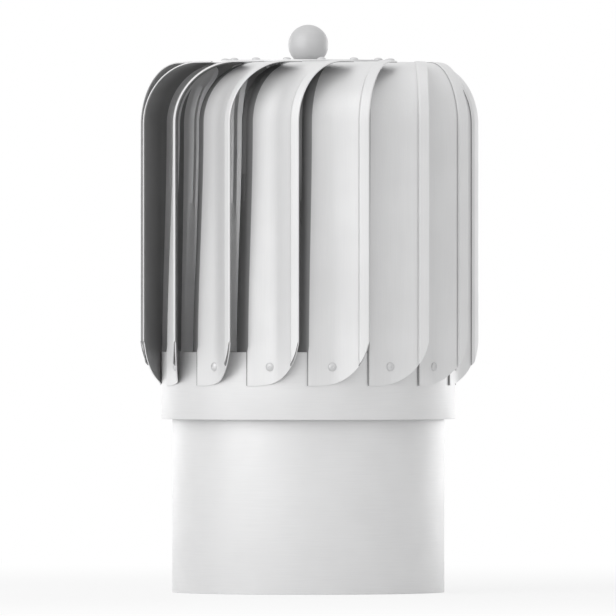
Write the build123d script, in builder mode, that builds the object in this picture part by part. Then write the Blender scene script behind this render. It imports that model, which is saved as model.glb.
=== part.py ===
from build123d import *
from math import atan, cos, degrees, radians, sin, sqrt
import os

# Roof turbine ventilator for a round duct. Millimetres, +Z up, origin on the axis at the spigot's open end.
# Azimuths are degrees counter-clockwise from -Y, seen from above. The first blade's root is at azimuth 0.

# ---- Duct spigot: the fixed tube ----
duct_diameter = 150.0
tube_wall = 0.8
spigot_height = 115.0

# ---- Rotor band: the ring that carries the blades ----
running_gap = 5.25
band_wall = 0.8
band_height = 37.0
band_bottom = 95.5

# ---- Blades ----
blade_count = 15
sheet = 0.6
tab_width = 15.6
tab_drop = 18.4
tab_corner_radius = 28.5
flange_angle = 6.0
flange_set_in = 4.0
flange_drop = 6.5
flange_clearance = 0.15
flange_run_out = 12.0
crease_angle = 27.0
flare_width = 19.4
hem_width = 5.5
blade_height = 177.6
bend_radius = 34.0
bend_flats = 8
blade_overlap = 23.0
blade_clearance = 1.2
tongue_radius = 40.0
trim_margin = 1.0

# ---- Blade rivets ----
rivet_sides = 8
rivet_head_diameter = 4.8
rivet_head_height = 1.3
rivet_edge_gap = 0.1
lower_rivet_drop = 8.1
upper_rivet_radius = 45.8

# ---- Top plate and finial ----
plate_diameter = 98.0
plate_thickness = 1.2
finial_diameter = 22.2
finial_flat_diameter = 13.6
finial_sides = 24
stud_diameter = 6.0
stud_in_finial = 12.0

# ---- Spindle and its nuts ----
spindle_diameter = 12.0
spindle_stub = 3.0
spindle_nut_flats = 19.0
spindle_nut_height = 6.0

# ---- Top ball bearing and the hub that holds it under the plate ----
bearing_bore = 10.0
bearing_outside = 26.0
bearing_width = 8.0
bearing_inner_land = 15.0
bearing_outer_land = 21.0
bearing_relief = 1.2
fit_gap = 0.02
hub_wall = 2.0
hub_roof = 9.0
hub_lip = 1.0

# ---- Guide bush and rotor spider ----
running_clearance = 0.05
bush_wall = 2.5
bush_length = 15.0
collar_wall = 2.5
spider_collar_height = 12.0
arm_count = 3
arm_width = 12.0
arm_thickness = 1.5
arm_tab_height = 12.0
spider_lift = 4.0

# ---- Spindle brackets in the spigot ----
bracket_azimuth = 60.0
bracket_drop = 5.0
bracket_spacing = 45.0
bracket_collar_height = 6.0
bracket_rivet_pitch = 6.0

# ---- Sizes that follow from these ----
seat_gap = 0.02
front = -90.0
duct_radius = duct_diameter / 2
bore_radius = duct_radius - tube_wall
band_inner = duct_radius + running_gap
band_outer = band_inner + band_wall
band_top = band_bottom + band_height
pitch = 360 / blade_count
tab_bottom = band_top - tab_drop
blade_top = tab_bottom + blade_height
bend_start = blade_top - bend_radius
rivet_height = band_top - lower_rivet_drop
plate_bottom = blade_top + seat_gap
plate_top = plate_bottom + plate_thickness
spindle_radius = spindle_diameter / 2
stud_radius = stud_diameter / 2

os.makedirs("parts", exist_ok=True)


def keep(name, part):
    """Label a finished piece and write its file."""
    part.label = name
    export_step(part, f"parts/{name}.step")


def upright(azimuth, height, distance=0):
    """Plane that faces straight out from the axis at one azimuth, its Y upwards."""
    angle = radians(front + azimuth)
    out = Vector(cos(angle), sin(angle), 0)
    return Plane(origin=out * distance + Vector(0, 0, height), x_dir=(-out.Y, out.X, 0), z_dir=out)


def arm_profile(side, *points):
    """Section of a bent flat bar in the XZ plane, from its path and the side of the path that it lies on."""
    with BuildSketch(Plane.XZ) as profile:
        with BuildLine():
            Polyline(*points)
            offset(amount=arm_thickness, side=side, kind=Kind.INTERSECTION)
        make_face()
    return profile.sketch


def make_spider(profile, azimuth, collar_bottom, collar_height, collar_radius, collar_bore):
    """Three arms of bent flat bar about a tubular collar."""
    with BuildPart() as spider:
        with BuildSketch(Plane.XY.offset(collar_bottom)):
            Circle(collar_radius)
        extrude(amount=collar_height)
        with PolarLocations(0, arm_count, front + azimuth):
            add(extrude(profile, amount=arm_width / 2, both=True, mode=Mode.PRIVATE))
        with BuildSketch(Plane.XY.offset(collar_bottom)):
            Circle(collar_bore)
        extrude(amount=collar_height, mode=Mode.SUBTRACT)
    return spider.part


def tab_reach(radius):
    """Distance from the axis at which a flat tab of an arm fits inside a round wall."""
    return sqrt(radius**2 - (arm_width / 2) ** 2) - seat_gap


def ring(outer, inner, bottom, height):
    """Plain ring about the axis."""
    with BuildPart() as plain_ring:
        with BuildSketch(Plane.XY.offset(bottom)):
            Circle(outer)
            Circle(inner, mode=Mode.SUBTRACT)
        extrude(amount=height)
    return plain_ring.part


# ======================= Blades =======================
# A blade is a flat tab, which touches the band along its middle, and a flat flare that leaves it at the crease.
# It is drawn in its press frame: X runs across it, along the flare, and Y is the way its top is bent over. On the
# rotor that frame stands at press_angle from the blade's root, where the tab begins.
tab_distance = band_outer + seat_gap
tab_middle = tab_width / 2
root_radius = sqrt(tab_distance**2 + tab_middle**2)
tab_azimuth = degrees(atan(tab_middle / tab_distance))
press_angle = crease_angle - tab_azimuth
crease = radians(crease_angle)

# Places across the blade, and depths of the sheet's inner face
root_across = tab_distance * sin(crease) - tab_middle * cos(crease)
root_depth = tab_distance * cos(crease) + tab_middle * sin(crease)
crease_across = tab_distance * sin(crease) + tab_middle * cos(crease)
flare_depth = tab_distance * cos(crease) - tab_middle * sin(crease)
edge_across = crease_across + flare_width
fold_across = edge_across - hem_width
edge_radius = sqrt(edge_across**2 + (flare_depth + 2 * sheet) ** 2)
flange_radius = root_radius - flange_set_in
flange_across = flange_radius * sin(radians(press_angle - flange_angle))
flange_depth = flange_radius * cos(radians(press_angle - flange_angle))

# The flange goes in behind the band's top edge, so beside the root it is slit away until it is clear of the band
flange_sink = root_radius + sheet / cos(crease) + flange_clearance - band_inner
slit_across = root_across - (root_across - flange_across) * flange_sink / flange_set_in


def bend_points(centre, radius):
    """Quarter turn of the rolled bend, from the upright sheet to its flat top, in a few flats."""
    turns = [radians(90 * step / bend_flats) for step in range(bend_flats + 1)]
    return [(centre - radius * cos(turn), bend_start + radius * sin(turn)) for turn in turns]


def blade_section(place, depth, inner, outer):
    """Outline of the sheet in the upright plane at one place across, between two distances from its inner face."""
    inside = -depth - inner
    outside = -depth - outer
    centre = outside + bend_radius
    inner_radius = centre - inside
    top_end = -tongue_radius / 4
    with BuildSketch(Plane(origin=(place, 0, 0), x_dir=(0, 1, 0), z_dir=(1, 0, 0))) as section:
        with BuildLine():
            Polyline(
                (outside, tab_bottom),
                *bend_points(centre, bend_radius),
                (top_end, blade_top),
                (top_end, bend_start + inner_radius),
                *reversed(bend_points(centre, inner_radius)),
                (inside, tab_bottom),
                close=True,
            )
        make_face()
    return section.sketch


def make_blade():
    """One blade in its press frame."""
    sheet_sections = [
        blade_section(flange_across, flange_depth, 0, sheet),
        blade_section(root_across, root_depth, 0, sheet / cos(crease)),
        blade_section(crease_across, flare_depth, 0, sheet),
        blade_section(edge_across, flare_depth, 0, sheet),
    ]
    hem_sections = [blade_section(place, flare_depth, sheet, 2 * sheet) for place in (fold_across, edge_across)]
    with BuildPart() as blade:
        # The sheet, from the flange strip to the free edge, and the hem folded back on its outer face
        loft(sheet_sections, ruled=True)
        loft(hem_sections, ruled=True)
        # Rounded lower corner of the tab
        with BuildSketch(Plane.XZ):
            corner_across = edge_across - tab_corner_radius
            corner_height = tab_bottom + tab_corner_radius
            with BuildLine():
                CenterArc((corner_across, corner_height), tab_corner_radius, -90, 90)
                Polyline(
                    (edge_across, corner_height),
                    (edge_across + trim_margin, corner_height),
                    (edge_across + trim_margin, tab_bottom - trim_margin),
                    (corner_across, tab_bottom - trim_margin),
                    (corner_across, tab_bottom),
                )
            make_face()
        extrude(amount=edge_radius, both=True, mode=Mode.SUBTRACT)
        # Slit beside the root: the tab stays outside the band, the flange strip goes in behind its top edge.
        # Below the bend the strip runs out.
        strip_across = flange_across - trim_margin
        with BuildSketch(Plane.XZ):
            with BuildLine():
                Polyline(
                    (strip_across, tab_bottom - trim_margin),
                    (root_across, tab_bottom - trim_margin),
                    (root_across, band_top + trim_margin),
                    (slit_across, band_top + trim_margin),
                    (slit_across, band_top - flange_drop),
                    (strip_across, band_top - flange_drop),
                    close=True,
                )
            make_face()
            with BuildLine():
                Polyline(
                    (root_across, blade_top + trim_margin),
                    (root_across, bend_start - sheet),
                    (strip_across, bend_start - sheet - flange_run_out),
                    (strip_across, blade_top + trim_margin),
                    close=True,
                )
            make_face()
        extrude(amount=edge_radius, both=True, mode=Mode.SUBTRACT)
        # The top stops where the next blade comes up beside it, and ends in a tongue under the plate
        with BuildSketch(Plane.XY.offset(blade_top - bend_radius / 8)):
            with Locations(Location((0, 0, 0), (0, 0, pitch))):
                with Locations((root_across - blade_clearance, blade_overlap - flare_depth - bend_radius / 8)):
                    Rectangle(edge_radius, edge_radius, align=(Align.MIN, Align.MIN))
            Circle(tongue_radius)
        extrude(amount=bend_radius / 4, mode=Mode.SUBTRACT)
    return blade.part


pressed_blade = make_blade()
for index in range(blade_count):
    with BuildPart() as blade:
        add(pressed_blade, rotation=(0, 0, index * pitch - press_angle))
    keep(f"blade_{index + 1:02d}", blade.part)

# ======================= Rotor band, top plate and blade rivets =======================
keep("rotor_band", ring(band_outer, band_inner, band_bottom, band_height))
keep("top_plate", ring(plate_diameter / 2, stud_radius + seat_gap, plate_bottom, plate_thickness))

# A rivet's head lies on the tab, close beside the crease
rivet_seat = tab_distance + sheet + seat_gap
rivet_offset = tab_middle - rivet_head_diameter / 2 - rivet_edge_gap
rivet_azimuth = tab_azimuth + degrees(atan(rivet_offset / rivet_seat))
with BuildPart() as tab_rivets:
    for index in range(blade_count):
        with BuildSketch(upright(tab_azimuth + index * pitch, rivet_height, rivet_seat)):
            with Locations((rivet_offset, 0)):
                RegularPolygon(rivet_head_diameter / 2, rivet_sides, rotation=180 / rivet_sides)
        extrude(amount=rivet_head_height)
keep("tab_rivets", tab_rivets.part)

with BuildPart() as plate_rivets:
    with BuildSketch(Plane.XY.offset(plate_top + seat_gap)):
        with PolarLocations(upper_rivet_radius, blade_count, front + rivet_azimuth):
            RegularPolygon(rivet_head_diameter / 2, rivet_sides)
    extrude(amount=rivet_head_height)
keep("plate_rivets", plate_rivets.part)

# ======================= Ball finial =======================
# The ball stands on a small flat. It is cut with flat sides, which keep its facets few.
finial_radius = finial_diameter / 2
finial_bottom = plate_top + seat_gap
finial_centre = finial_bottom + sqrt(finial_radius**2 - (finial_flat_diameter / 2) ** 2)

with BuildPart() as ball_finial:
    for side in range(finial_sides // 2):
        with BuildSketch(upright(side * 360 / finial_sides, finial_centre)):
            RegularPolygon(finial_radius, finial_sides)
        extrude(amount=finial_diameter, both=True, mode=Mode.INTERSECT if side else Mode.ADD)
    split(bisect_by=Plane.XY.offset(finial_bottom), keep=Keep.TOP)
    with BuildSketch(Plane.XY.offset(finial_bottom)):
        Circle(stud_radius + seat_gap)
    extrude(amount=stud_in_finial + seat_gap, mode=Mode.SUBTRACT)
keep("ball_finial", ball_finial.part)

hub_top = plate_bottom - seat_gap
hub_ceiling = hub_top - hub_roof
with BuildPart() as finial_stud:
    with BuildSketch(Plane.XY.offset(hub_ceiling)):
        Circle(stud_radius)
    extrude(amount=finial_bottom + stud_in_finial - hub_ceiling)
keep("finial_stud", finial_stud.part)

# ======================= Bearing hub under the plate, and its ball bearing =======================
bearing_top = hub_ceiling - bearing_relief
bearing_bottom = bearing_top - bearing_width
hub_bottom = bearing_bottom - hub_lip
hub_bore = bearing_outside / 2 + fit_gap
inner_land = bearing_inner_land / 2
outer_land = bearing_outer_land / 2

with BuildPart() as bearing_hub:
    with BuildSketch(Plane.XZ):
        with BuildLine():
            Polyline(
                (stud_radius + seat_gap, hub_top),
                (hub_bore + hub_wall, hub_top),
                (hub_bore + hub_wall, hub_bottom),
                (hub_bore, hub_bottom),
                (hub_bore, bearing_top + fit_gap),
                (outer_land, bearing_top + fit_gap),
                (outer_land, hub_ceiling),
                (stud_radius + seat_gap, hub_ceiling),
                close=True,
            )
        make_face()
    revolve(axis=Axis.Z)
keep("bearing_hub", bearing_hub.part)

# Both rings of the sealed bearing. Its balls can't be seen, so they aren't drawn.
keep("bearing_outer_ring", ring(bearing_outside / 2, outer_land, bearing_bottom, bearing_width))
keep("bearing_inner_ring", ring(inner_land, bearing_bore / 2 + fit_gap, bearing_bottom, bearing_width))

# ======================= Spindle, and its brackets in the spigot =======================
bracket_top = spigot_height - bracket_drop
lower_collar_top = bracket_top - bracket_spacing
lower_collar_bottom = lower_collar_top - bracket_collar_height
spindle_bottom = lower_collar_bottom - spindle_nut_height - spindle_stub
bracket_bore = spindle_radius + seat_gap
tab_face = tab_reach(bore_radius)
tab_end = bracket_top - arm_tab_height

with BuildPart() as spindle:
    with BuildSketch(Plane.XY.offset(spindle_bottom)):
        Circle(spindle_radius)
    extrude(amount=bearing_bottom - fit_gap - spindle_bottom)
    with BuildSketch(Plane.XY.offset(spindle_bottom)):
        Circle(bearing_bore / 2)
    extrude(amount=bearing_top - spindle_bottom)
keep("spindle", spindle.part)

# The upper bracket's bars lie flat across the bore and turn down along its wall. The lower bracket's bars start
# behind the same tabs, so one set of rivets holds both, and slope down to a collar further along the spindle.
upper_arm = arm_profile(
    Side.RIGHT,
    (bracket_bore + collar_wall / 2, bracket_top),
    (tab_face, bracket_top),
    (tab_face, tab_end),
)
lower_tab_face = tab_face - arm_thickness - seat_gap
lower_arm = arm_profile(
    Side.LEFT,
    (bracket_bore + collar_wall / 2, (lower_collar_top + lower_collar_bottom) / 2),
    (lower_tab_face, tab_end),
    (lower_tab_face, bracket_top - arm_thickness - seat_gap),
)
for name, arm, collar_top in (
    ("upper_bracket", upper_arm, bracket_top),
    ("lower_bracket", lower_arm, lower_collar_top),
):
    collar_bottom = collar_top - bracket_collar_height
    collar_radius = bracket_bore + collar_wall
    keep(name, make_spider(arm, bracket_azimuth, collar_bottom, bracket_collar_height, collar_radius, bracket_bore))

# The heads of their rivets are inside, so a duct slides over the spigot freely
bracket_rivet_seat = lower_tab_face - arm_thickness - seat_gap
bracket_rivet_height = (bracket_top + tab_end) / 2
with BuildPart() as bracket_rivets:
    for index in range(arm_count):
        azimuth = bracket_azimuth + index * 360 / arm_count
        with BuildSketch(upright(azimuth, bracket_rivet_height, bracket_rivet_seat)):
            with GridLocations(bracket_rivet_pitch, 0, 2, 1):
                RegularPolygon(rivet_head_diameter / 2, rivet_sides)
        extrude(amount=-rivet_head_height)
keep("bracket_rivets", bracket_rivets.part)

with BuildPart() as spindle_nuts:
    for bottom in (bracket_top + seat_gap, lower_collar_bottom - seat_gap - spindle_nut_height):
        with BuildSketch(Plane.XY.offset(bottom)):
            RegularPolygon(spindle_nut_flats / 2, 6, major_radius=False)
            Circle(bracket_bore, mode=Mode.SUBTRACT)
        extrude(amount=spindle_nut_height)
keep("spindle_nuts", spindle_nuts.part)

keep("duct_spigot", ring(duct_radius, bore_radius, 0, spigot_height))

# ======================= Rotor spider and its guide bush =======================
spider_bottom = spigot_height + spider_lift
guide_radius = spindle_radius + running_clearance
bush_radius = guide_radius + bush_wall
spider_bore = bush_radius + seat_gap
band_face = tab_reach(band_inner)
spider_arm = arm_profile(
    Side.LEFT,
    (spider_bore + collar_wall / 2, spider_bottom),
    (band_face, spider_bottom),
    (band_face, spider_bottom + arm_tab_height),
)
keep(
    "rotor_spider",
    make_spider(
        spider_arm, rivet_azimuth, spider_bottom, spider_collar_height, spider_bore + collar_wall, spider_bore
    ),
)
keep("guide_bush", ring(bush_radius, guide_radius, spider_bottom, bush_length))
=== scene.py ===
"""Looks of a roof turbine ventilator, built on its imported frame, in metres and degrees."""
import logging
from collections.abc import Sequence
from dataclasses import dataclass
from enum import Enum
from math import atan, cos, degrees, pi, radians, sin, sqrt

import bmesh
import bpy
from bmesh.types import BMEdge, BMesh, BMLayerItem, BMVert
from bpy.types import Material, Node, NodeSocket, Object, World
from mathutils import Matrix, Vector


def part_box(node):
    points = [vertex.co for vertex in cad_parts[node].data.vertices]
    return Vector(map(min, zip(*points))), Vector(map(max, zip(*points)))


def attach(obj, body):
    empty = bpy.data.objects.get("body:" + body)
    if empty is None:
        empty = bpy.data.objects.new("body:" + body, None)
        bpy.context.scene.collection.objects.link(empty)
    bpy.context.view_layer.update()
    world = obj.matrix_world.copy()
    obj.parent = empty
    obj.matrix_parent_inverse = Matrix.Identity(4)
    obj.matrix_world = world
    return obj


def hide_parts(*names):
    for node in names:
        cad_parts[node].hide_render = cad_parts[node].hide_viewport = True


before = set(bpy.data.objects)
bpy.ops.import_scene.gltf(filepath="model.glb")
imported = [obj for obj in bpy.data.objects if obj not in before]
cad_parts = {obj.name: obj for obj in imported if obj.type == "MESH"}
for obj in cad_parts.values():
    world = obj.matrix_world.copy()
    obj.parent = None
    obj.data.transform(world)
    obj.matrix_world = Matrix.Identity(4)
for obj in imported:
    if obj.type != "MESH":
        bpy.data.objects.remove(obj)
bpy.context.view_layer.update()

log = logging.getLogger("turbine")

Colour = tuple[float, float, float]
Pair = tuple[float, float]
Outline = list[Pair]

ORIGIN = Vector((0.0, 0.0, 0.0))
UP = Vector((0.0, 0.0, 1.0))
FRONT = radians(-90.0)
WHITE = (1.0, 1.0, 1.0, 1.0)

# Vertices nearer than this are one vertex.
TOUCHING = 1e-7
# Angle past which an edge counts as sharp.
SHARP = 35.0
# Segments of every broken edge.
EDGE_SEGMENTS = 2
# Wall of the spigot and of the band.
TUBE_WALL = 0.0008
# How far the tabs' rivets sit below the band's top.
RIVET_DROP = 0.0081


# ===== Shader trees =====
class Tree:
    """A node tree with short calls that add and join nodes."""

    # Range that most values of a mixed noise lie in, for tones and for gloss.
    TONES = (0.35, 0.65)
    GLOSSES = (0.3, 0.7)
    # Phase that a wave texture of scale 1 gains over one metre.
    WAVE_PHASE = 20.0

    def __init__(self, owner: Material | World) -> None:
        """Empty the owner's tree and keep it.

        Args:
            owner: The material or the world.
        """
        owner.use_nodes = True
        self.nodes = owner.node_tree.nodes
        self.links = owner.node_tree.links
        self.nodes.clear()

    def add(
        self, kind: str, inputs: dict[str | int, object] | None = None, **settings: object
    ) -> Node:
        """Add one node.

        Args:
            kind: The node's class name.
            inputs: Socket name or index to a value or to another node's output.
            **settings: Properties of the node itself.

        Returns:
            The new node.
        """
        node = self.nodes.new(kind)
        for name, value in settings.items():
            setattr(node, name, value)
        for socket, value in (inputs or {}).items():
            if isinstance(value, NodeSocket):
                self.links.new(value, node.inputs[socket])
            else:
                node.inputs[socket].default_value = value
        return node

    def place(self) -> NodeSocket:
        """Give the coordinates that stay with the piece."""
        return self.add("ShaderNodeTexCoord").outputs["Object"]

    def math(self, operation: str, *values: object) -> NodeSocket:
        """Add a Math node that takes its values in order, and give its output."""
        return self.add("ShaderNodeMath", dict(enumerate(values)), operation=operation).outputs[0]

    def remap(
        self, value: NodeSocket, low: float, high: float, to_low: float, to_high: float
    ) -> NodeSocket:
        """Turn the range from low to high smoothly into the one from to_low to to_high."""
        inputs = {0: value, 1: low, 2: high, 3: to_low, 4: to_high}
        return self.add("ShaderNodeMapRange", inputs, interpolation_type="SMOOTHSTEP").outputs[0]

    def noise(
        self, vector: NodeSocket, scale: float, octaves: float, roughness: float = 0.55
    ) -> NodeSocket:
        """Add a noise with so many features a metre, and give its factor."""
        inputs = {"Vector": vector, "Scale": scale, "Detail": octaves, "Roughness": roughness}
        return self.add("ShaderNodeTexNoise", inputs).outputs[0]

    def blend(self, first: NodeSocket, second: NodeSocket, share: float) -> NodeSocket:
        """Add up two patterns, the first with a share and the second with the rest."""
        parts = self.math("MULTIPLY", first, share), self.math("MULTIPLY", second, 1.0 - share)
        return self.math("ADD", *parts)

    def tint(self, share: NodeSocket, first: Colour, second: Colour) -> NodeSocket:
        """Go from the first colour to the second as a share grows, and give the colour."""
        inputs = {0: share, 6: (*first, 1.0), 7: (*second, 1.0)}
        return self.add("ShaderNodeMix", inputs, data_type="RGBA").outputs[2]

    def choose(self, share: NodeSocket, first: object, second: object) -> NodeSocket:
        """Go from the first level to the second as a share grows, and give the level."""
        inputs = {0: share, 2: first, 3: second}
        return self.add("ShaderNodeMix", inputs, data_type="FLOAT").outputs[0]

    def bump(
        self, height: NodeSocket, distance: float, below: NodeSocket | None = None
    ) -> NodeSocket:
        """Add a bump.

        Args:
            height: Its pattern.
            distance: Its depth.
            below: A bump that it lies on.

        Returns:
            The bent normal.
        """
        inputs = {"Height": height, "Distance": distance, "Strength": 1.0}
        if below is not None:
            inputs["Normal"] = below
        return self.add("ShaderNodeBump", inputs).outputs[0]

    def thread(self, place: NodeSocket, pitch: float, below: NodeSocket) -> NodeSocket:
        """Add the bump of a fine thread about the upright axis.

        Args:
            place: Coordinates of the surface.
            pitch: Height of one turn.
            below: A bump that it lies on.

        Returns:
            The bent normal.
        """
        turns = {"Vector": place, "Scale": 2 * pi / (self.WAVE_PHASE * pitch)}
        bands = self.add("ShaderNodeTexWave", turns, wave_type="BANDS", bands_direction="Z")
        return self.bump(bands.outputs[1], pitch / 3, below)

    def seen(self) -> NodeSocket:
        """Tell the rays that show the background, straight or through something clear."""
        rays = self.add("ShaderNodeLightPath").outputs
        return self.math("MAXIMUM", rays["Is Camera Ray"], rays["Is Transmission Ray"])

    def glow(self, strength: NodeSocket | float, kind: str) -> NodeSocket:
        """Add an emission or a background of plain white, and give its output."""
        return self.add(kind, {"Color": WHITE, "Strength": strength}).outputs[0]


# ===== Finishes =====
class Grain(Enum):
    """How a finish's fine marks are drawn out along X, Y and Z."""

    UPRIGHT = (1.0, 1.0, 0.015)
    ROUND = (0.02, 0.02, 1.0)
    EVEN = (1.0, 1.0, 1.0)


@dataclass(frozen=True)
class Recipe:
    """What builds the material of a finish.

    Attributes:
        name: Name of the material.
    """

    name: str

    def inputs(self, tree: Tree) -> dict[str, object]:
        """Work out the inputs of the shader."""
        raise NotImplementedError

    def material(self) -> Material:
        """Give the material, built on its first use.

        Returns:
            The material.
        """
        made = bpy.data.materials.get(self.name)
        if made is None:
            made = bpy.data.materials.new(self.name)
            tree = Tree(made)
            shader = tree.add("ShaderNodeBsdfPrincipled", self.inputs(tree))
            tree.add("ShaderNodeOutputMaterial", {"Surface": shader.outputs[0]})
        return made


@dataclass(frozen=True)
class Metal(Recipe):
    """Bare metal with a fine satin grain and slow, faint clouds in its tone.

    Attributes:
        colour: Linear colour of the clean metal.
        roughness: Mean roughness.
        grain: How the fine marks run.
        bareness: Share of bare metal under the thin oxide that scatters light.
        waves: Depth of the sheet's slow waves.
        pitch: Pitch of a thread cut into it.
        marks: Fine marks per metre.
        mark_depth: Depth of the fine marks.
        clouds: Clouds per metre.
        cloud_share: Share of the clouds in the tone, beside the marks.
        clouding: How far the tone wanders.
        gloss_drift: How far the roughness wanders with the tone.
        swells: Slow waves per metre.
    """

    colour: Colour
    roughness: float
    grain: Grain = Grain.EVEN
    bareness: float = 0.7
    waves: float = 0.0
    pitch: float = 0.0
    marks: float = 2600.0
    mark_depth: float = 0.000002
    clouds: float = 30.0
    cloud_share: float = 0.6
    clouding: float = 0.02
    gloss_drift: float = 0.08
    swells: float = 14.0

    def inputs(self, tree: Tree) -> dict[str, object]:
        """Work out the inputs of the metal's shader.

        Args:
            tree: The material's tree.

        Returns:
            The inputs.
        """
        place = tree.place()
        drawn = tree.add("ShaderNodeMapping", {"Vector": place, "Scale": self.grain.value})
        marks = tree.noise(drawn.outputs[0], self.marks, octaves=3.0)
        clouds = tree.noise(place, self.clouds, octaves=2.0)
        tone = tree.blend(clouds, marks, self.cloud_share)
        shade = tree.remap(tone, *Tree.TONES, 1.0 - self.clouding, 1.0 + self.clouding)
        toned = {0: self.colour, "Scale": shade}
        colour = tree.add("ShaderNodeVectorMath", toned, operation="SCALE").outputs[0]
        dull = self.roughness * (1.0 + self.gloss_drift)
        bright = self.roughness * (1.0 - self.gloss_drift)
        normal = tree.bump(marks, self.mark_depth)
        if self.waves:
            swells = tree.noise(place, self.swells, octaves=1.0)
            normal = tree.bump(swells, self.waves, normal)
        if self.pitch:
            normal = tree.thread(place, self.pitch, normal)
        return {
            "Base Color": colour,
            "Metallic": self.bareness,
            "Roughness": tree.remap(tone, *Tree.GLOSSES, dull, bright),
            "Normal": normal,
        }


@dataclass(frozen=True)
class Galvanised(Recipe):
    """Zinc-coated steel: flat crystals of slightly different tone and gloss.

    Attributes:
        light: Linear colour of the lightest crystals.
        dark: Linear colour of the darkest crystals.
        crystals: Crystals per metre.
        crystal_share: Share of the crystals in the tone, beside the specks.
        specks: Specks per metre.
        speck_depth: Depth of the specks.
        dull: Roughness of the darkest crystals.
        bright: Roughness of the lightest crystals.
    """

    light: Colour = (0.62, 0.64, 0.66)
    dark: Colour = (0.40, 0.42, 0.45)
    crystals: float = 160.0
    crystal_share: float = 0.7
    specks: float = 900.0
    speck_depth: float = 0.00002
    dull: float = 0.5
    bright: float = 0.34

    def inputs(self, tree: Tree) -> dict[str, object]:
        """Work out the inputs of the zinc coat's shader.

        Args:
            tree: The material's tree.

        Returns:
            The inputs.
        """
        place = tree.place()
        cells = tree.add("ShaderNodeTexVoronoi", {"Vector": place, "Scale": self.crystals})
        tones = tree.add("ShaderNodeSeparateColor", {0: cells.outputs["Color"]})
        specks = tree.noise(place, self.specks, octaves=3.0)
        tone = tree.blend(tones.outputs[0], specks, self.crystal_share)
        return {
            "Base Color": tree.tint(tone, self.dark, self.light),
            "Metallic": 1.0,
            "Roughness": tree.remap(tone, 0.0, 1.0, self.dull, self.bright),
            "Normal": tree.bump(specks, self.speck_depth),
        }


@dataclass(frozen=True)
class Nylon(Recipe):
    """Natural white bearing plastic, faintly mottled.

    Attributes:
        light: Linear colour of the clean plastic.
        dark: Linear colour where it is handled.
        grains: Grains per metre.
        grain_depth: Depth of the grains.
        dull: Roughness where it is handled.
        bright: Roughness of the clean plastic.
        milkiness: Share of the light that goes in.
        milk_depth: How deep it goes.
    """

    light: Colour = (0.78, 0.75, 0.66)
    dark: Colour = (0.62, 0.59, 0.50)
    grains: float = 700.0
    grain_depth: float = 0.00002
    dull: float = 0.55
    bright: float = 0.42
    milkiness: float = 0.15
    milk_depth: float = 0.002

    def inputs(self, tree: Tree) -> dict[str, object]:
        """Work out the inputs of the plastic's shader.

        Args:
            tree: The material's tree.

        Returns:
            The inputs.
        """
        grain = tree.noise(tree.place(), self.grains, octaves=4.0)
        return {
            "Base Color": tree.tint(grain, self.dark, self.light),
            "Roughness": tree.remap(grain, *Tree.GLOSSES, self.dull, self.bright),
            "Normal": tree.bump(grain, self.grain_depth),
            "Subsurface Weight": self.milkiness,
            "Subsurface Scale": self.milk_depth,
        }


class Finish(Enum):
    """Every finish of the object, with the record's slot that it belongs to."""

    BLADE_SHEET = "mill_aluminium", Metal(
        "blade_sheet", (0.80, 0.80, 0.803), 0.46, Grain.UPRIGHT, bareness=0.3, waves=0.00004
    )
    # Painted shade: a darker blade finish on the blades' inner faces and on the flanges' outer
    # faces, standing in for the shade inside the rotor and in the slots.
    BLADE_PAINTED_SHADE = "mill_aluminium", Metal(
        "blade_painted_shade", (0.33, 0.33, 0.333), 0.50, Grain.UPRIGHT, bareness=0.5
    )
    TUBE_SHEET = "mill_aluminium", Metal(
        "tube_sheet", (0.79, 0.79, 0.793), 0.46, Grain.ROUND, bareness=0.4, waves=0.00003
    )
    PLATE_SHEET = "mill_aluminium", Metal(
        "plate_sheet", (0.78, 0.78, 0.783), 0.36, Grain.EVEN, waves=0.00004
    )
    RIVET = "rivet_aluminium", Metal("rivet_metal", (0.68, 0.68, 0.685), 0.40, bareness=0.5)
    TURNED = "turned_aluminium", Metal(
        "turned_metal", (0.62, 0.62, 0.625), 0.46, Grain.ROUND, bareness=0.25
    )
    BRACKET = "galvanised_steel", Galvanised("galvanised_bar")
    THREADED = "plated_steel", Metal(
        "threaded_steel", (0.60, 0.60, 0.57), 0.32, Grain.ROUND, bareness=0.9, pitch=0.00175
    )
    PLATED = "plated_steel", Metal(
        "plated_steel", (0.60, 0.60, 0.57), 0.30, Grain.ROUND, bareness=0.9
    )
    BEARING = "bearing_steel", Metal(
        "bearing_steel", (0.56, 0.56, 0.57), 0.22, Grain.ROUND, bareness=1.0
    )
    NYLON = "nylon", Nylon("nylon")

    def __init__(self, slot: str, recipe: Recipe) -> None:
        """Keep the name of the record's slot and what builds the material."""
        self.slot = slot
        self.recipe = recipe


# ===== Shapes =====
def clamped(value: float) -> float:
    """Keep a value between 0 and 1."""
    return min(max(value, 0.0), 1.0)


def outward(azimuth: float) -> Vector:
    """Give the level direction away from the axis at an azimuth from the front."""
    return Vector((cos(FRONT + radians(azimuth)), sin(FRONT + radians(azimuth)), 0.0))


def move(bm: BMesh, verts: Sequence[BMVert], shift: Vector) -> None:
    """Shift some vertices of a mesh."""
    bmesh.ops.translate(bm, verts=verts, vec=shift)


def turn(bm: BMesh, verts: Sequence[BMVert], angle: float) -> None:
    """Turn some vertices of a mesh about the axis, by an angle in radians."""
    bmesh.ops.rotate(bm, verts=verts, cent=ORIGIN, matrix=Matrix.Rotation(angle, 3, "Z"))


def contents(bm: BMesh) -> list[object]:
    """Give all that a mesh holds."""
    return bm.verts[:] + bm.edges[:] + bm.faces[:]


def wire(bm: BMesh, points: Sequence[Sequence[float]], closed: bool = False) -> list[BMEdge]:
    """Draw a line of edges.

    Args:
        bm: The mesh that takes them.
        points: The line's points.
        closed: Whether the last point joins the first.

    Returns:
        The edges in order.
    """
    verts = [bm.verts.new(point) for point in points]
    ends = verts[1:] + verts[:1] if closed else verts[1:]
    return [bm.edges.new(pair) for pair in zip(verts, ends)]


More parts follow.
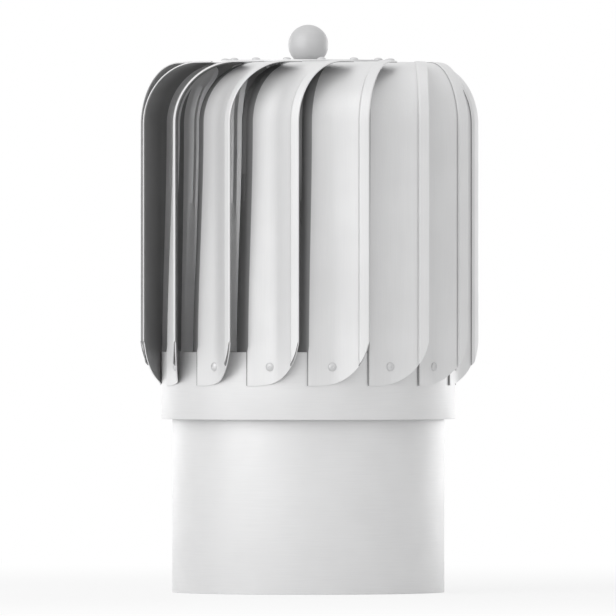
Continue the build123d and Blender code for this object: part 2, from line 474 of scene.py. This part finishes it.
def lathe(bm: BMesh, profile: Outline, steps: int, closed: bool = True) -> None:
    """Turn a profile about the axis.

    Args:
        bm: An empty mesh that takes the turned shape.
        profile: Points as distance from the axis and height.
        steps: Divisions of a full turn.
        closed: Whether the profile is a closed outline.
    """
    wire(bm, [(reach, 0.0, height) for reach, height in profile], closed)
    bmesh.ops.spin(
        bm,
        geom=contents(bm),
        cent=ORIGIN,
        axis=UP,
        angle=2 * pi,
        steps=steps,
        use_merge=True,
        use_duplicate=False,
    )
    bmesh.ops.remove_doubles(bm, verts=bm.verts[:], dist=TOUCHING)
    bmesh.ops.recalc_face_normals(bm, faces=bm.faces[:])


def rounded(corners: Outline, cut: float, parts: int = 3) -> Outline:
    """Round the corners of a closed outline.

    Args:
        corners: The outline's sharp corners.
        cut: Length that each rounding takes from both sides of its corner.
        parts: Divisions of each rounding.

    Returns:
        The outline's points.
    """
    outline = []
    for index, corner in enumerate(corners):
        here = Vector(corner)
        before = Vector(corners[index - 1]) - here
        after = Vector(corners[(index + 1) % len(corners)]) - here
        start = here + before.normalized() * cut
        end = here + after.normalized() * cut
        outline += [(point.x, point.y) for point in bent(start, here, end, parts)]
    return outline


def bent(start: Vector, corner: Vector, end: Vector, parts: int) -> list[Vector]:
    """Give the points of a bend from a start to an end that rounds the corner between them."""
    shares = [part / parts for part in range(parts + 1)]
    return [start.lerp(corner, share).lerp(corner.lerp(end, share), share) for share in shares]


def break_edges(bm: BMesh, width: float, angle: float = SHARP) -> None:
    """Bevel a mesh's sharp edges.

    Args:
        bm: The mesh.
        width: Width of the bevels.
        angle: Angle past which an edge is bevelled.
    """
    sharp = [edge for edge in bm.edges if edge.calc_face_angle(0.0) > radians(angle)]
    bmesh.ops.bevel(
        bm,
        geom=sharp,
        affect="EDGES",
        offset=width,
        offset_type="OFFSET",
        segments=EDGE_SEGMENTS,
        profile=0.5,
        clamp_overlap=True,
        material=-1,
    )


@dataclass
class Part:
    """What every piece that belongs to one node shares.

    Attributes:
        node: The node.
        body: The body that it moves with.
        finish: Its finish.
    """

    node: str
    body: str
    finish: Finish

    def piece(self, kind: str, bm: BMesh, sharp: float = SHARP, instead: bool = True) -> Object:
        """Turn a finished mesh into a piece of the object.

        Args:
            kind: The end of the piece's name.
            bm: Its mesh, with its place in it.
            sharp: Angle past which an edge shades sharp.
            instead: Whether it is shown instead of the node.

        Returns:
            The new object.
        """
        mesh = bpy.data.meshes.new(f"{self.node}_{kind}")
        bm.to_mesh(mesh)
        bm.free()
        mesh.shade_smooth()
        mesh.set_sharp_from_angle(angle=radians(sharp))
        mesh.materials.append(self.finish.recipe.material())
        made = bpy.data.objects.new(mesh.name, mesh)
        bpy.context.scene.collection.objects.link(made)
        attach(made, self.body)
        if instead:
            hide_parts(self.node)
        log.info("%s: %d faces", made.name, len(mesh.polygons))
        return made


# ===== Tubes =====
@dataclass
class SheetRing(Part):
    """A tube of thin sheet whose two ends are smoothed.

    Attributes:
        wall: Thickness of the sheet.
        edge: Rounding of the sheet's edges.
        steps: Divisions round it.
    """

    wall: float = TUBE_WALL
    edge: float = 0.00022
    steps: int = 180

    def build(self) -> Object:
        """Turn the ring's wall.

        Returns:
            The piece.
        """
        low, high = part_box(self.node)
        outer = high.x
        inner = outer - self.wall
        corners = [(inner, low.z), (outer, low.z), (outer, high.z), (inner, high.z)]
        bm = bmesh.new()
        lathe(bm, rounded(corners, self.edge), self.steps)
        return self.piece("sheet", bm)


@dataclass
class Seam(Part):
    """The lock seam inside a rolled tube, at the back.

    Attributes:
        wall: Thickness of the tube.
        thickness: How far it stands in from the wall.
        span: Angle that it takes.
        inset: How far it ends short of the tube's ends.
        steps: Divisions along its angle.
    """

    wall: float = TUBE_WALL
    thickness: float = 0.0007
    span: float = 5.0
    inset: float = 0.0012
    steps: int = 6

    def build(self) -> Object:
        """Turn the seam through its short angle.

        Returns:
            The piece.
        """
        low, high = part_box(self.node)
        outer = high.x - self.wall
        inner = outer - self.thickness
        bottom, top = low.z + self.inset, high.z - self.inset
        corners = [(inner, bottom), (outer, bottom), (outer, top), (inner, top)]
        bm = bmesh.new()
        edges = wire(bm, [(reach, 0.0, height) for reach, height in corners], closed=True)
        turn(bm, bm.verts[:], -FRONT)
        bmesh.ops.contextual_create(bm, geom=edges)
        bmesh.ops.spin(
            bm,
            geom=contents(bm),
            cent=ORIGIN,
            axis=UP,
            angle=radians(self.span),
            steps=self.steps,
            use_duplicate=False,
        )
        bmesh.ops.recalc_face_normals(bm, faces=bm.faces[:])
        break_edges(bm, self.thickness / 3)
        return self.piece("seam", bm, instead=False)


# ===== Blades =====
@dataclass
class BladeSet:
    """The ring of pressed blades.

    A blade is drawn in its press frame: X runs across it, and depth is outwards. Each row of its
    mesh is the sheet's section at one height, and the points of a section are its stations.

    Attributes:
        count: Number of blades.
        sheet: Thickness of their sheet.
        tab_distance: Distance of the tab's middle surface from the axis.
        tab_width: Width of the tab that lies on the band.
        crease_angle: Angle between the tab and the flare.
        crease_roll: Length that the rolled crease takes of each side.
        untwist: Share of the crease that is pressed flat again above the band.
        settle: Height over which the section changes above the band.
        root_roll: Width of the rolled root on the band, just above it and at the bend.
        root_limit: Greatest share that the rolled root takes of the flange.
        flare_width: Width of the flare, from the crease to the free edge.
        flange_angle: Angle that the flange goes back from the root.
        flange_low: Distance of the flange's end from the axis beside the band.
        flange_high: The same at the bend.
        flange_drop: How far the flange reaches down inside the band.
        flange_line: Depth of the line pressed along the flange.
        flange_ridge: Place of the line's ridge, as a share of the flange's width.
        flange_groove: Place of the line's groove, as such a share.
        flange_bow: Height of the ridge, as a share of the groove's depth.
        flange_taper: Where on the bend the flange starts to run out, and over what turn.
        hem_width: Width of the hem on the free edge.
        hem_turn: Radius of the fold at the free edge.
        hem_rise: How far the hem's inner side stands up.
        hem_flattening: Share of its height that the hem loses over the bend.
        hem_places: Stations of the hem, as shares of its width.
        hem_lip: Stations of the hem's lip, as distance past its inner side and below its top.
        hem_foot: How far past its inner side the lip meets the sheet.
        corner_radius: Radius of the tab's lower corner.
        bend_radius: Radius of the bend over the top.
        tongue_radius: Distance from the axis at which the top ends.
        tongue_least: Least length of the tongue.
        blade_overlap: How far in the next blade cuts the top.
        blade_clearance: Air beside the next blade.
        flange_stations: Number of stations before the rolled root.
        roll_parts: Divisions of the rolled root and of the rolled crease.
        flare_parts: Divisions of the flare.
        fold_parts: Divisions of the fold at the free edge.
        bend_steps: Divisions of the bend over the top.
        broken_angle: Angle past which the sheet's edges are broken.
        foot_rows: Heights of the lowest rows above the lower edge.
        slit_step: Height between rows just above the band.
        slit_rows: Number of those rows.
        upper_rows: Heights of the rows from there to the bend.
    """

    count: int = 15
    sheet: float = 0.0006
    tab_distance: float = 0.08141
    tab_width: float = 0.0156
    crease_angle: float = 27.0
    crease_roll: float = 0.0040
    untwist: float = 0.4
    settle: float = 0.125
    root_roll: tuple[float, float, float] = (0.0010, 0.0042, 0.0106)
    root_limit: float = 0.3
    flare_width: float = 0.0193
    flange_angle: float = 6.0
    flange_low: float = 0.0777
    flange_high: float = 0.0735
    flange_drop: float = 0.0065
    flange_line: float = 0.0010
    flange_ridge: float = 0.72
    flange_groove: float = 0.48
    flange_bow: float = 0.4
    flange_taper: Pair = (48.0, 30.0)
    hem_width: float = 0.0051
    hem_turn: float = 0.00032
    hem_rise: float = 0.0008
    hem_flattening: float = 0.6
    hem_places: tuple[float, ...] = (0.25, 0.5, 0.75, 0.92)
    hem_lip: tuple[Pair, ...] = ((0.0001, 0.0001), (0.0004, 0.0003), (0.0008, 0.0007))
    hem_foot: float = 0.0010
    corner_radius: float = 0.0285
    bend_radius: float = 0.034
    tongue_radius: float = 0.040
    tongue_least: float = 0.0002
    blade_overlap: float = 0.023
    blade_clearance: float = 0.0012
    flange_stations: int = 4
    roll_parts: int = 6
    flare_parts: int = 9
    fold_parts: int = 5
    bend_steps: int = 24
    broken_angle: float = 50.0
    foot_rows: tuple[float, ...] = (0.0, 0.004, 0.008)
    slit_step: float = 0.0034
    slit_rows: int = 8
    upper_rows: tuple[float, ...] = (0.164, 0.172, 0.182, 0.192, 0.202, 0.215, 0.23, 0.245)

    def __post_init__(self) -> None:
        """Work out the press frame's sizes, and the stations at which the sheet changes."""
        low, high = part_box("blade_01")
        self.bottom = low.z
        self.top = high.z
        self.bend_start = self.top - self.bend_radius
        self.band_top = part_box("rotor_band")[1].z
        angle = radians(self.crease_angle)
        middle = self.tab_width / 2
        self.press_angle = self.crease_angle - degrees(atan(middle / self.tab_distance))
        self.crease = self.tab_distance * sin(angle) + middle * cos(angle)
        self.flare = self.tab_distance * cos(angle) - middle * sin(angle)
        self.root = self.tab_distance * sin(angle) - middle * cos(angle)
        self.edge = self.crease + self.flare_width
        self.corner = self.edge - self.corner_radius
        self.root_station = self.flange_stations + 1
        # Last station of the flange part whose outer face carries the painted shade.
        self.painted_shade_station = self.flange_stations + self.roll_parts // 2
        rolls = 2 * (self.roll_parts + 1) + 1
        self.fold_station = self.flange_stations + rolls + self.flare_parts + 1

    def polar(self, radius: float, azimuth: float) -> Vector:
        """Give the place across and the depth of a point at a radius and an azimuth."""
        angle = radians(azimuth + self.press_angle)
        return Vector((radius * sin(angle), radius * cos(angle)))

    def section(self, height: float, flange: float = 1.0) -> list[Vector]:
        """Give the sheet's section at a height.

        Args:
            height: The height.
            flange: Share of the flange's width that is left.

        Returns:
            The stations from the flange's end to the hem's inner side, as place across, depth and
            rise above the sheet.
        """
        above = height - self.band_top
        share = clamped(above / self.settle)
        lift = share * share * (3 - 2 * share)
        angle = radians(self.crease_angle) * (1 - self.untwist * lift)
        crease = Vector((self.crease, self.flare))
        root = crease + Vector((-cos(angle), sin(angle))) * self.tab_width
        radius = self.flange_low + (self.flange_high - self.flange_low) * lift
        end = root.lerp(self.polar(radius, -self.flange_angle), flange)
        flush, low, high = self.root_roll
        roll = flush + (low - flush) * clamped(above / self.slit_step) + (high - low) * lift
        width = max((end - root).length, TOUCHING)
        before = root.lerp(end, min(self.root_limit, roll / width))
        after = root.lerp(crease, roll / self.tab_width)
        inward = Vector((0.0, -self.flange_line * lift * flange))
        ridge = root.lerp(end, self.flange_ridge) - inward * self.flange_bow
        groove = root.lerp(end, self.flange_groove) + inward
        end += inward
        flat = [end, ridge.lerp(end, self.flange_bow), ridge, groove]
        flat += bent(before, root, after, self.roll_parts)
        into = crease.lerp(root, self.crease_roll / self.tab_width)
        out = crease + Vector((self.crease_roll, 0.0))
        flat += [after.lerp(into, 0.5), *bent(into, crease, out, self.roll_parts)]
        start = flat[-1].x
        fold = self.edge - self.sheet / 2 - self.hem_turn
        for step in range(1, self.flare_parts + 1):
            across = start + (fold - start) * step / self.flare_parts
            flat.append(Vector((across, self.flare)))
        return [Vector((point.x, point.y, 0.0)) for point in flat] + self.hem(fold)

    def hem(self, fold: float) -> list[Vector]:
        """Give the stations of the hem, folded back over the flare.

        Args:
            fold: Place across at which the sheet starts to turn.

        Returns:
            The stations, as place across, depth and rise above the sheet.
        """
        stations = []
        for step in range(1, self.fold_parts + 1):
            angle = pi * step / self.fold_parts - pi / 2
            across = fold + self.hem_turn * cos(angle)
            stations.append((across, self.hem_turn * (1 + sin(angle))))
        inner = self.edge - self.hem_width
        flush = 2 * self.hem_turn
        for share in self.hem_places:
            stations.append((fold + (inner - fold) * share, flush + self.hem_rise * share))
        for past, below in self.hem_lip:
            stations.append((inner - past, flush + self.hem_rise - below))
        stations.append((inner - self.hem_foot, self.sheet))
        return [Vector((across, self.flare, rise)) for across, rise in stations]

    def lowest(self, place: float) -> float:
        """Give the height of the blade's lower edge at a place across."""
        reach = min(max(place - self.corner, 0.0), self.corner_radius)
        return self.bottom + self.corner_radius - sqrt(self.corner_radius**2 - reach**2)

    def upright_row(self, height: float) -> list[Vector]:
        """Give one row of the upright part. The rows crowd together above the round corner.

        Args:
            height: The row's height.

        Returns:
            The row's points.
        """
        full = self.bottom + 2 * self.corner_radius
        share = (height - self.bottom) / (full - self.bottom)
        row = []
        for across, depth, rise in self.section(height):
            low = self.lowest(across)
            level = height if height > full else low + (full - low) * share
            row.append(Vector((across, -depth - rise, level)))
        return row

    def bend_row(self, angle: float) -> list[Vector]:
        """Give one row of the bend over the top, where the flange runs out.

        Args:
            angle: How far the bend has turned, in radians.

        Returns:
            The row's points.
        """
        radius = self.bend_radius - self.sheet / 2
        start, span = self.flange_taper
        share = clamped((angle - radians(start)) / radians(span))
        settled = 1 - self.hem_flattening * angle / (pi / 2)
        row = []
        for across, depth, rise in self.section(self.bend_start, 1 - share * share):
            reach = rise * settled
            back = radius * (1 - cos(angle)) - reach * cos(angle)
            level = self.bend_start + (radius + reach) * sin(angle)
            row.append(Vector((across, back - depth, level)))
        return row

    def tongue_end(self, point: Vector) -> Vector:
        """Give where the top ends beyond a point of the bend's end."""
        reach = max(sqrt(max(self.tongue_radius**2 - point.x**2, 0.0)), self.tongue_radius / 4)
        return Vector((point.x, max(point.y + self.tongue_least, -reach), point.z))

    def rows(self) -> list[list[Vector]]:
        """Give all rows of a blade, from its lower edge to the end of its tongue.

        Returns:
            The rows' points.
        """
        levels = [self.bottom + rise for rise in self.foot_rows]
        levels.append(self.band_top - self.flange_drop)
        levels += [self.band_top + self.slit_step * step for step in range(self.slit_rows)]
        rows = [self.upright_row(level) for level in (*levels, *self.upper_rows)]
        for step in range(self.bend_steps + 1):
            rows.append(self.bend_row(pi / 2 * step / self.bend_steps))
        last = rows[-1]
        for share in (0.5, 1.0):
            rows.append([point.lerp(self.tongue_end(point), share) for point in last])
        return rows

    def pressed(self) -> BMesh:
        """Shape one blade in its press frame.

        Returns:
            The blade's middle surface.
        """
        bm = bmesh.new()
        station = bm.verts.layers.int.new("station")
        first, *others = self.rows()
        row = wire(bm, first)
        bm.verts.ensure_lookup_table()
        for index, vert in enumerate(bm.verts):
            vert[station] = index
        for points in others:
            grown = bmesh.ops.extrude_edge_only(bm, edges=row)["geom"]
            row = [item for item in grown if isinstance(item, BMEdge)]
            for edge in row:
                for vert in edge.verts:
                    vert.co = points[vert[station]]
        # Slot 1 swaps the sides' finishes on the flange with half its rolled root, and on the
        # folded hem. The flange's outer face thus takes the painted shade, the shade of its slot
        # painted on.
        for face in bm.faces:
            places = [vert[station] for vert in face.verts]
            if max(places) <= self.painted_shade_station or min(places) >= self.fold_station:
                face.material_index = 1
        self.trim_flange(bm, station)
        self.trim_top(bm)
        bmesh.ops.recalc_face_normals(bm, faces=bm.faces[:])
        bmesh.ops.reverse_faces(bm, faces=bm.faces[:])
        return bm

    def trim_flange(self, bm: BMesh, station: BMLayerItem) -> None:
        """Cut the flange free below the band's top, and slit it beside the root.

        Args:
            bm: The blade's mesh.
            station: Layer with the station of each vertex.
        """
        spare = []
        for face in bm.faces:
            places = [vert[station] for vert in face.verts]
            height = face.calc_center_median().z
            below = height < self.band_top - self.flange_drop
            in_slit = min(places) > 0 and height < self.band_top
            if max(places) <= self.root_station and (below or in_slit):
                spare.append(face)
        bmesh.ops.delete(bm, geom=spare, context="FACES")

    def trim_top(self, bm: BMesh) -> None:
        """Cut the top back where the next blade comes up beside it.

        Args:
            bm: The blade's mesh.
        """
        to_next = Matrix.Rotation(2 * pi / self.count, 4, "Z")
        beside = to_next @ Vector((1.0, 0.0, 0.0))
        behind = to_next @ Vector((0.0, 1.0, 0.0))
        # The cut takes in the end of the bend, down to this far below the top.
        dip = self.bend_radius / 8
        level = self.top - dip
        depth = self.blade_overlap - self.flare - dip
        corner = to_next @ Vector((self.root - self.blade_clearance, depth, 0.0))
        for normal in (beside, behind):
            upper = [face for face in bm.faces if face.calc_center_median().z > level]
            edges = dict.fromkeys(edge for face in upper for edge in face.edges)
            verts = dict.fromkeys(vert for face in upper for vert in face.verts)
            parts = [*upper, *edges, *verts]
            bmesh.ops.bisect_plane(bm, geom=parts, dist=TOUCHING, plane_co=corner, plane_no=normal)
        spare = []
        for face in bm.faces:
            middle = face.calc_center_median()
            past = middle - corner
            if middle.z > level and past.dot(beside) > 0 and past.dot(behind) > 0:
                spare.append(face)
        bmesh.ops.delete(bm, geom=spare, context="FACES")

    def thicken(self, blade: Object) -> None:
        """Give a blade its second side, which takes the painted shade, its sheet's thickness and
        its broken edges.

        Args:
            blade: The blade's middle surface.
        """
        # Slot 1 is the painted shade for the inner faces; slot 2 is the bright sheet again where
        # slot 1 swaps the sides.
        for finish in (Finish.BLADE_PAINTED_SHADE, Finish.BLADE_SHEET):
            blade.data.materials.append(finish.recipe.material())
        thick = blade.modifiers.new("sheet", "SOLIDIFY")
        thick.thickness = self.sheet
        thick.offset = 0.0
        thick.material_offset = 1
        edges = blade.modifiers.new("edges", "BEVEL")
        edges.width = self.sheet / 5
        edges.segments = EDGE_SEGMENTS
        edges.limit_method = "ANGLE"
        edges.angle_limit = radians(self.broken_angle)
        edges.harden_normals = True

    def build(self) -> list[Object]:
        """Set every blade on the rotor.

        Returns:
            The blades.
        """
        blades = []
        for index in range(self.count):
            bm = self.pressed()
            turn(bm, bm.verts[:], 2 * pi * index / self.count - radians(self.press_angle))
            part = Part(f"blade_{index + 1:02d}", "rotor", Finish.BLADE_SHEET)
            blades.append(part.piece("sheet", bm, sharp=180.0))
            self.thicken(blades[-1])
        return blades


# ===== Rivets =====
@dataclass
class RivetRing(Part):
    """A ring of blind rivets with domed heads and the dimple of their broken stem.

    Attributes:
        azimuth: Azimuth of the first seat's face.
        reach: Distance of the seats from the axis.
        level: Height of the heads.
        sideways: How far each sits to one side on its face.
        upward: Whether they face up, not outwards.
        count: Number of rivets.
        radius: Radius of the head.
        height: Height of the head.
        seat: Radius of the seat, as a share of the head's.
        rim: Height of the head's rim, as a share of its height.
        crown: Angles of the points up the dome.
        dimple: Radius of the dimple.
        dimple_lip: Height of the dimple's edge, as a share of the head's.
        dimple_bottom: Height of the dimple's bottom, as a share of the head's.
        steps: Divisions round a head.
    """

    azimuth: float
    reach: float
    level: float
    sideways: float = 0.0
    upward: bool = False
    count: int = 15
    radius: float = 0.0024
    height: float = 0.00125
    seat: float = 0.96
    rim: float = 0.12
    crown: tuple[float, ...] = (0.0, 15.0, 30.0, 45.0, 60.0, 75.0)
    dimple: float = 0.0007
    dimple_lip: float = 0.93
    dimple_bottom: float = 0.55
    steps: int = 24

    def profile(self) -> Outline:
        """Give a head's outline from its seat to the bottom of its dimple.

        Returns:
            Points as distance from the head's middle and height.
        """
        outline = [(0.0, 0.0), (self.radius * self.seat, 0.0)]
        top = sin(radians(self.crown[-1]))
        for angle in map(radians, self.crown):
            share = self.rim + (1.0 - self.rim) * sin(angle) / top
            outline.append((self.radius * cos(angle), self.height * share))
        outline.append((self.dimple, self.height * self.dimple_lip))
        outline.append((0.0, self.height * self.dimple_bottom))
        return outline

    def build(self) -> Object:
        """Turn one head, and set a copy at each place.

        Returns:
            The piece with all heads.
        """
        bm = bmesh.new()
        lathe(bm, self.profile(), self.steps, closed=False)
        head = contents(bm)
        tip = UP.rotation_difference(outward(0.0)).to_matrix()
        seat = outward(0.0) * self.reach + outward(90.0) * self.sideways + UP * self.level
        for index in range(self.count):
            copied = bmesh.ops.duplicate(bm, geom=head)["geom"]
            verts = [item for item in copied if isinstance(item, BMVert)]
            if not self.upward:
                bmesh.ops.rotate(bm, verts=verts, cent=ORIGIN, matrix=tip)
            move(bm, verts, seat)
            turn(bm, verts, radians(self.azimuth + 360.0 / self.count * index))
        first = [item for item in head if isinstance(item, BMVert)]
        bmesh.ops.delete(bm, geom=first, context="VERTS")
        return self.piece("domes", bm, sharp=50.0)


# ===== Finial =====
@dataclass
class Finial(Part):
    """The ball on top, cut flat where it stands.

    Attributes:
        segments: Divisions round the ball.
    """

    segments: int = 72

    def build(self) -> Object:
        """Cut the ball from a sphere.

        Returns:
            The piece.
        """
        low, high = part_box(self.node)
        radius = (high.y - low.y) / 2
        bm = bmesh.new()
        bmesh.ops.create_uvsphere(
            bm, u_segments=self.segments, v_segments=self.segments // 2, radius=radius
        )
        move(bm, bm.verts[:], UP * (high.z - radius))
        cut = bmesh.ops.bisect_plane(
            bm, geom=contents(bm), plane_co=UP * low.z, plane_no=-UP, clear_outer=True
        )
        rim = [item for item in cut["geom_cut"] if isinstance(item, BMEdge)]
        bmesh.ops.contextual_create(bm, geom=rim)
        return self.piece("turned", bm)


# ===== Plate, bars, bearing and fasteners =====
@dataclass
class Formed(Part):
    """A plate, bar, turned part or fastener, with the edges of its solid broken.

    Attributes:
        edge: Width of the broken edges.
        crease: Angle past which an edge is broken.
        merge: Distance under which the solid's loose corners are joined.
        flatness: Angle under which its triangles make one face.
    """

    edge: float = 0.0003
    crease: float = SHARP
    merge: float = 1e-6
    flatness: float = 0.5

    def build(self) -> Object:
        """Clean a copy of the solid, and bevel its sharp edges.

        Returns:
            The piece.
        """
        bm = bmesh.new()
        bm.from_mesh(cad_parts[self.node].data)
        bmesh.ops.remove_doubles(bm, verts=bm.verts[:], dist=self.merge)
        bmesh.ops.dissolve_limit(
            bm, angle_limit=radians(self.flatness), verts=bm.verts[:], edges=bm.edges[:]
        )
        break_edges(bm, self.edge, self.crease)
        return self.piece("formed", bm)


# ===== Studio =====
@dataclass(frozen=True)
class Shade:
    """A darker part of the room.

    Attributes:
        azimuth: Azimuth of its middle.
        slope: Rise of the way to its middle for each metre outwards.
        start: Cosine of the angle from its middle at which it begins.
        end: Cosine of the angle from its middle at which it is darkest.
        level: Light that is left where it is darkest.
    """

    azimuth: float
    slope: float
    start: float
    end: float
    level: float


@dataclass(frozen=True)
class Lamp:
    """A soft lamp with a square face.

    Attributes:
        name: Its name.
        azimuth: Azimuth at which it hangs.
        reach: Its distance from the axis.
        height: Its height.
        size: Side of its face.
        watts: Its power.
    """

    name: str
    azimuth: float
    reach: float
    height: float
    size: float
    watts: float

    def hang(self, aim: Vector) -> None:
        """Hang the lamp.

        Args:
            aim: The point that it faces.
        """
        data = bpy.data.lights.new(self.name, "AREA")
        data.energy = self.watts
        data.size = self.size
        lamp = bpy.data.objects.new(self.name, data)
        lamp.location = outward(self.azimuth) * self.reach + UP * self.height
        lamp.rotation_euler = (aim - lamp.location).to_track_quat("-Z", "Y").to_euler()
        bpy.context.scene.collection.objects.link(lamp)


@dataclass
class Studio:
    """Camera, floor, lamps and surroundings.

    Attributes:
        lens: Focal length in millimetres.
        sensor: Width of the camera's sensor in millimetres.
        view_width: Width of the view at the object.
        view_height: Height of the view's centre.
        view_side: Sideways place of the view's centre.
        floor_radius: Radius of the floor.
        floor_tone: Linear tone of the floor where light falls on it.
        floor_fade: Distances from the axis over which the floor turns to plain white.
        floor_white: Share of plain white nearest to the axis.
        ambient: Level of the room for matt surfaces.
        shades: Darker parts of the room.
        heart: Height of the point that the lamps face.
        lamps: The lamps.
    """

    lens: float = 800.0
    sensor: float = 36.0
    view_width: float = 0.3397
    view_height: float = 0.1566
    view_side: float = -0.00016
    floor_radius: float = 1.2
    floor_tone: float = 0.90
    floor_fade: Pair = (0.2, 0.9)
    floor_white: float = 0.72
    ambient: float = 0.74
    shades: tuple[Shade, ...] = (
        Shade(azimuth=88.0, slope=0.0, start=0.35, end=1.0, level=0.66),
        Shade(azimuth=-95.0, slope=0.0, start=0.60, end=1.0, level=0.90),
        Shade(azimuth=0.0, slope=0.0, start=0.30, end=1.0, level=0.90),
        Shade(azimuth=0.0, slope=-9.0, start=0.10, end=0.9, level=0.60),
    )
    heart: float = 0.16
    lamps: tuple[Lamp, ...] = (
        Lamp("key", azimuth=-46.0, reach=1.5, height=0.85, size=1.8, watts=9.2),
        Lamp("fill", azimuth=50.0, reach=1.5, height=0.5, size=1.6, watts=1.2),
        Lamp("top", azimuth=0.0, reach=0.0, height=1.7, size=1.4, watts=0.8),
        Lamp("left_edge", azimuth=-148.0, reach=1.4, height=0.1, size=1.0, watts=2.8),
        Lamp("right_edge", azimuth=140.0, reach=1.4, height=0.1, size=1.0, watts=4.4),
    )

    def camera(self) -> None:
        """Place the camera straight in front."""
        data = bpy.data.cameras.new("camera")
        data.lens = self.lens
        data.sensor_width = self.sensor
        distance = self.lens * self.view_width / self.sensor
        data.clip_end = distance * 4
        camera = bpy.data.objects.new("camera", data)
        camera.location = (self.view_side, -distance, self.view_height)
        camera.rotation_euler = (pi / 2, 0, 0)
        bpy.context.scene.collection.objects.link(camera)
        bpy.context.scene.camera = camera

    def floor_material(self) -> Material:
        """Build the floor's finish: it takes a soft shadow, and turns to plain white far out.

        Returns:
            The material.
        """
        material = bpy.data.materials.new("floor")
        tree = Tree(material)
        length = tree.add("ShaderNodeVectorMath", {0: tree.place()}, operation="LENGTH")
        fade = tree.remap(length.outputs["Value"], *self.floor_fade, self.floor_white, 1.0)
        share = tree.math("MULTIPLY", tree.seen(), fade)
        tone = (self.floor_tone, self.floor_tone, self.floor_tone, 1.0)
        lit = tree.add("ShaderNodeBsdfDiffuse", {"Color": tone}).outputs[0]
        plain = tree.glow(1.0, "ShaderNodeEmission")
        mixed = tree.add("ShaderNodeMixShader", {0: share, 1: lit, 2: plain}).outputs[0]
        tree.add("ShaderNodeOutputMaterial", {"Surface": mixed})
        return material

    def floor(self) -> None:
        """Lay the pale floor that the ventilator stands on."""
        bm = bmesh.new()
        bmesh.ops.create_circle(bm, cap_ends=True, segments=96, radius=self.floor_radius)
        mesh = bpy.data.meshes.new("floor")
        bm.to_mesh(mesh)
        bm.free()
        mesh.materials.append(self.floor_material())
        floor = bpy.data.objects.new("floor", mesh)
        bpy.context.scene.collection.objects.link(floor)

    def surroundings(self) -> None:
        """Light the room softly: white behind, darkest to the right and low down."""
        world = bpy.data.worlds.new("studio")
        tree = Tree(world)
        way = tree.add("ShaderNodeTexCoord").outputs["Generated"]
        soft = 1.0
        for shade in self.shades:
            toward = (outward(shade.azimuth) + UP * shade.slope).normalized()
            facing = tree.add("ShaderNodeVectorMath", {0: way, 1: toward}, operation="DOT_PRODUCT")
            left = tree.remap(facing.outputs["Value"], shade.start, shade.end, 1.0, shade.level)
            soft = tree.math("MULTIPLY", soft, left)
        glossy = tree.add("ShaderNodeLightPath").outputs["Is Glossy Ray"]
        level = tree.choose(glossy, tree.math("MULTIPLY", soft, self.ambient), soft)
        strength = tree.choose(tree.seen(), level, 1.0)
        sky = tree.glow(strength, "ShaderNodeBackground")
        tree.add("ShaderNodeOutputWorld", {"Surface": sky})
        bpy.context.scene.world = world
        bpy.context.scene.view_settings.view_transform = "Standard"

    def build(self) -> None:
        """Set up the whole studio."""
        self.camera()
        self.floor()
        self.surroundings()
        for lamp in self.lamps:
            lamp.hang(UP * self.heart)
        log.info("studio is set")


def main() -> None:
    """Build the studio, then every piece of the ventilator."""
    logging.basicConfig(level=logging.INFO, format="%(name)s %(message)s")
    Studio().build()
    for node, body in (("duct_spigot", "base"), ("rotor_band", "rotor")):
        SheetRing(node, body, Finish.TUBE_SHEET).build()
        Seam(node, body, Finish.TUBE_SHEET).build()
    BladeSet().build()
    Finial("ball_finial", "rotor", Finish.TURNED).build()
    tabs = {"azimuth": 5.496, "reach": 0.08172, "level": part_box("rotor_band")[1].z - RIVET_DROP}
    RivetRing("tab_rivets", "rotor", Finish.RIVET, sideways=0.0053, **tabs).build()
    plate = {"azimuth": 9.21, "reach": 0.0458, "level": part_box("top_plate")[1].z}
    RivetRing("plate_rivets", "rotor", Finish.RIVET, upward=True, **plate).build()
    formed = (
        Formed("top_plate", "rotor", Finish.PLATE_SHEET),
        Formed("upper_bracket", "base", Finish.BRACKET),
        Formed("lower_bracket", "base", Finish.BRACKET),
        Formed("bracket_rivets", "base", Finish.RIVET, crease=60.0),
        Formed("rotor_spider", "rotor", Finish.BRACKET),
        Formed("spindle", "base", Finish.THREADED, edge=0.0008),
        Formed("spindle_nuts", "base", Finish.PLATED, edge=0.0007),
        Formed("finial_stud", "rotor", Finish.THREADED),
        Formed("bearing_hub", "rotor", Finish.TURNED),
        Formed("bearing_inner_ring", "base", Finish.BEARING),
        Formed("bearing_outer_ring", "rotor", Finish.BEARING),
        Formed("guide_bush", "rotor", Finish.NYLON),
    )
    for part in formed:
        part.build()


if __name__ == "__main__":
    main()
